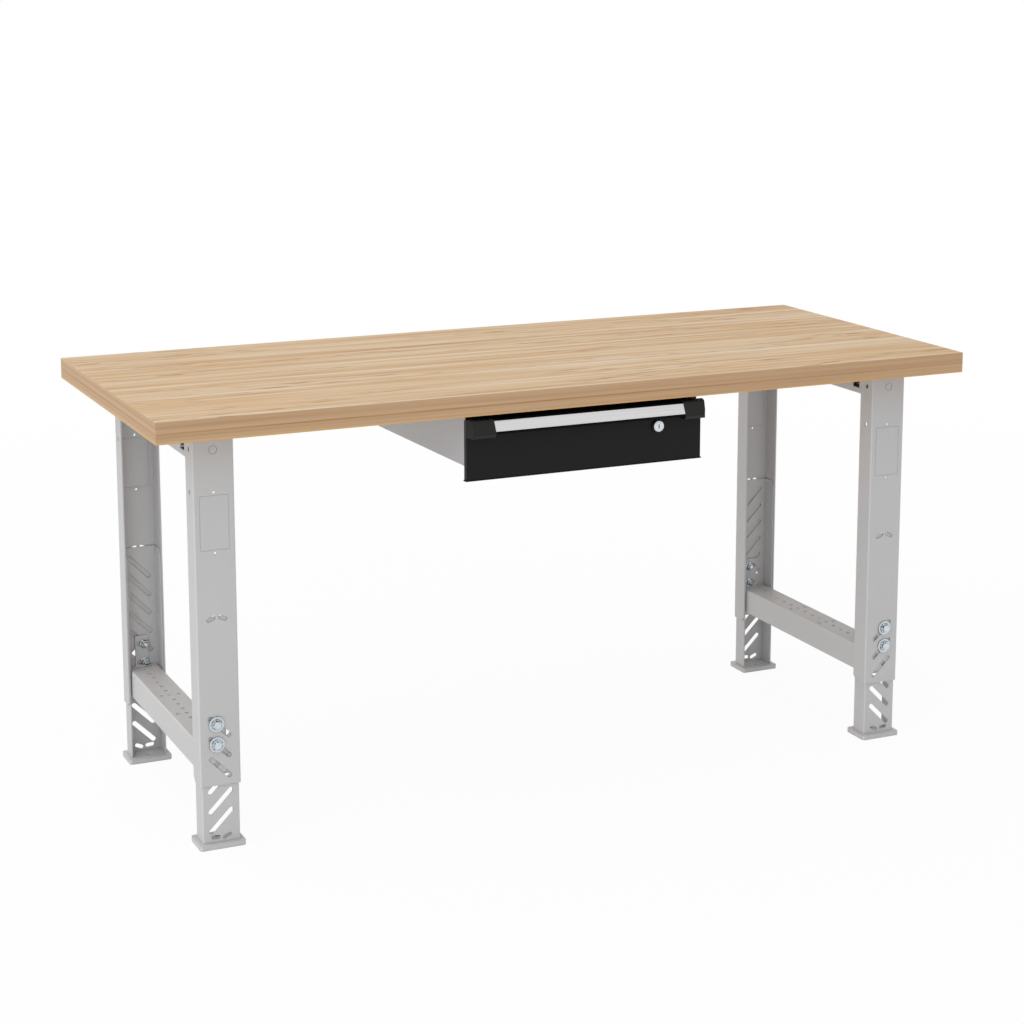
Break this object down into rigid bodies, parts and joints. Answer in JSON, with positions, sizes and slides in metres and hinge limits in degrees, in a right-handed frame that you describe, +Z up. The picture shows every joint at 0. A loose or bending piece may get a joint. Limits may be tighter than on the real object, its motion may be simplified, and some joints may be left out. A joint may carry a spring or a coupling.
{
  "type": "workbench",
  "caption": "Free-standing workbench with a laminated wooden top on telescopic slotted steel legs, perforated side stretchers and a locking drawer under the front edge.",
  "frame": {"origin": "on the floor under the middle of the worktop", "axes": "+X along the bench to its right end, -Y towards the drawer front, +Z up"},
  "size_m": [1.829, 0.768, 0.896],
  "materials": {
    "powder_grey": "satin powder coat",
    "housing_grey": "satin powder coat",
    "powder_black": "fine texture powder coat",
    "cap_plastic": "moulded matt",
    "silver_strip": "satin anodised",
    "laminated_wood": "clear lacquer",
    "zinc": "bright zinc plate",
    "runner_steel": "zinc plate",
    "lock_black": "gloss",
    "lock_chrome": "polished"
  },
  "bodies": {
    "feet": {"lower_leg_front_left": "powder_grey", "foot_plate_front_left": "powder_grey", "lower_leg_rear_left": "powder_grey", "foot_plate_rear_left": "powder_grey", "lower_leg_front_right": "powder_grey", "foot_plate_front_right": "powder_grey", "lower_leg_rear_right": "powder_grey", "foot_plate_rear_right": "powder_grey"},
    "bench": {"upper_leg_front_left": "powder_grey", "upper_leg_rear_left": "powder_grey", "upper_leg_front_right": "powder_grey", "upper_leg_rear_right": "powder_grey", "top_rail_left": "powder_grey", "top_rail_right": "powder_grey", "worktop": "laminated_wood", "worktop_screws": "zinc", "drawer_housing": "housing_grey", "housing_front_rail": "housing_grey", "housing_screws": "zinc", "runner_outer_left": "runner_steel", "runner_outer_right": "runner_steel"},
    "bolts_a": {"leg_bolts_a": "zinc", "leg_washers_a": "zinc", "leg_nuts_a": "zinc"},
    "bolts_b": {"leg_bolts_b": "zinc", "leg_washers_b": "zinc", "leg_nuts_b": "zinc"},
    "stretchers": {"stretcher_left": "powder_grey", "stretcher_right": "powder_grey"},
    "drawer": {"drawer_tray": "housing_grey", "drawer_front": "powder_black", "drawer_handle": "powder_black", "handle_strip": "silver_strip", "handle_end_cap_left": "cap_plastic", "handle_end_cap_right": "cap_plastic", "lock_case": "lock_black", "lock_nut": "zinc", "runner_inner_left": "runner_steel", "runner_inner_right": "runner_steel"},
    "runner_middles": {"runner_middle_left": "runner_steel", "runner_middle_right": "runner_steel"},
    "lock": {"lock_plug": "lock_chrome", "lock_cam": "zinc"}
  },
  "joints": [
    {"name": "bench_height", "type": "slide", "parent": "feet", "child": "bench", "axis": [0, 0, 1], "range_m": [0, 0.025]},
    {"name": "bolts_a_shift", "type": "slide", "parent": "feet", "child": "bolts_a", "axis": [0.7071, 0, 0.7071], "range_m": [0, 0.018]},
    {"name": "bolts_b_shift", "type": "slide", "parent": "feet", "child": "bolts_b", "axis": [-0.7071, 0, 0.7071], "range_m": [0, 0.018]},
    {"name": "stretchers_shift", "type": "slide", "parent": "feet", "child": "stretchers", "axis": [0, 0, 1], "range_m": [0, 0.013]},
    {"name": "drawer_slide", "type": "slide", "parent": "bench", "child": "drawer", "axis": [0, -1, 0], "range_m": [0, 0.42]},
    {"name": "runner_middle_slide", "type": "slide", "parent": "bench", "child": "runner_middles", "axis": [0, -1, 0], "range_m": [0, 0.215]},
    {"name": "lock_turn", "type": "hinge", "parent": "drawer", "child": "lock", "pos_m": [0.167, -0.3555, 0.7905], "axis": [0, 1, 0], "range_deg": [0, 90]}
  ],
  "couplings": [
    {"joint": "bolts_a_shift", "follows": "bench_height", "ratio": 0.70711},
    {"joint": "bolts_b_shift", "follows": "bench_height", "ratio": 0.70711},
    {"joint": "stretchers_shift", "follows": "bench_height", "ratio": 0.5},
    {"joint": "runner_middle_slide", "follows": "drawer_slide", "ratio": 0.5}
  ]
}
